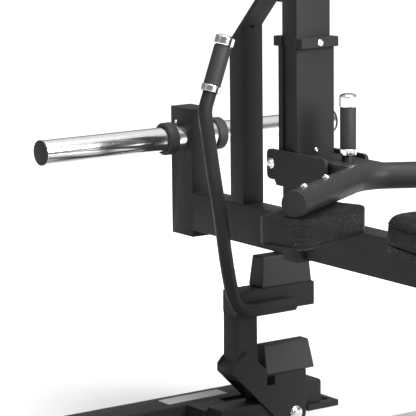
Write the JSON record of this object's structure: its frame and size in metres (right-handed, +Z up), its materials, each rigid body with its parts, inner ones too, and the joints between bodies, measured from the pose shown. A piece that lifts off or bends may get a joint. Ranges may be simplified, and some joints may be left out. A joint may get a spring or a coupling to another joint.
{
  "type": "seated calf raise machine",
  "caption": "Plate-loaded seated calf raise machine: a hinged weight lever under a seat, thigh pads on a sliding V bar, and a swinging catch with a long handle.",
  "frame": {"origin": "on the floor, under the middle of the machine's box", "axes": "+Z up; -X is the way the user faces, towards the weight horn; +Y is the user's right"},
  "size_m": [1.308, 0.736, 0.9813],
  "materials": {
    "frame_coat": "satin black powder coat",
    "bright_chrome": "polished",
    "bumper_rubber": "matt",
    "grip_rubber": "knurled, matt",
    "pad_leather": "grained black leather",
    "black_plastic": "moulded",
    "tread_coat": "grey, fine grit"
  },
  "bodies": {
    "frame": {"front_beam": "frame_coat", "front_anchor_left": "frame_coat", "front_anchor_right": "frame_coat", "rear_beam": "frame_coat", "rear_anchor_left": "frame_coat", "rear_anchor_right": "frame_coat", "base_spine": "frame_coat", "catch_mount": "frame_coat", "catch_mount_box": "frame_coat", "catch_bolt": "bright_chrome", "foot_tube": "frame_coat", "foot_tread": "tread_coat", "seat_cushion": "pad_leather", "seat_board": "pad_leather", "seat_post": "frame_coat", "pivot_plate_left": "frame_coat", "pivot_plate_right": "frame_coat", "pivot_shaft": "bright_chrome"},
    "lever": {"weight_post": "frame_coat", "horn_tube": "bright_chrome", "horn_plug_left": "black_plastic", "horn_plug_right": "black_plastic", "horn_flange_left": "bright_chrome", "horn_flange_right": "bright_chrome", "horn_ring_left": "bumper_rubber", "horn_ring_right": "bumper_rubber", "lever_front_tube": "frame_coat", "lever_rear_tube": "frame_coat", "pivot_sleeve": "frame_coat", "brace_tube": "frame_coat", "brace_plate": "frame_coat", "top_link": "frame_coat", "upright_post": "frame_coat", "lever_stop": "frame_coat"},
    "carriage": {"shell_front": "frame_coat", "shell_rear": "frame_coat", "collar_front": "frame_coat", "collar_rear": "frame_coat", "bracket_plate_left": "frame_coat", "bracket_plate_right": "frame_coat", "clamp_bolt": "bright_chrome", "carriage_neck": "frame_coat", "v_bar": "frame_coat", "v_bar_plug_left": "black_plastic", "v_bar_plug_right": "black_plastic", "thigh_pad_left": "pad_leather", "thigh_pad_right": "pad_leather", "grip_ring": "bright_chrome", "grip_rubber": "grip_rubber", "grip_cap": "bright_chrome"},
    "catch": {"swing_plate_front": "frame_coat", "swing_plate_rear": "frame_coat", "catch_post": "frame_coat", "catch_crossbar": "frame_coat", "upper_bumper": "bumper_rubber", "low_bumper": "bumper_rubber", "handle_tube": "frame_coat", "handle_ring": "bright_chrome", "handle_rubber": "grip_rubber", "handle_cap": "bright_chrome"}
  },
  "joints": [
    {"name": "lever_pivot", "type": "hinge", "parent": "frame", "child": "lever", "pos_m": [0.324, 0, 0.4585], "axis": [0, 1, 0], "range_deg": [0, 10]},
    {"name": "carriage_slide", "type": "slide", "parent": "lever", "child": "carriage", "axis": [0, 0, 1], "range_m": [-0.055, 0.05]},
    {"name": "catch_pivot", "type": "hinge", "parent": "frame", "child": "catch", "pos_m": [-0.447, 0.118, 0.039], "axis": [1, 0, 0], "range_deg": [0, 20]}
  ]
}
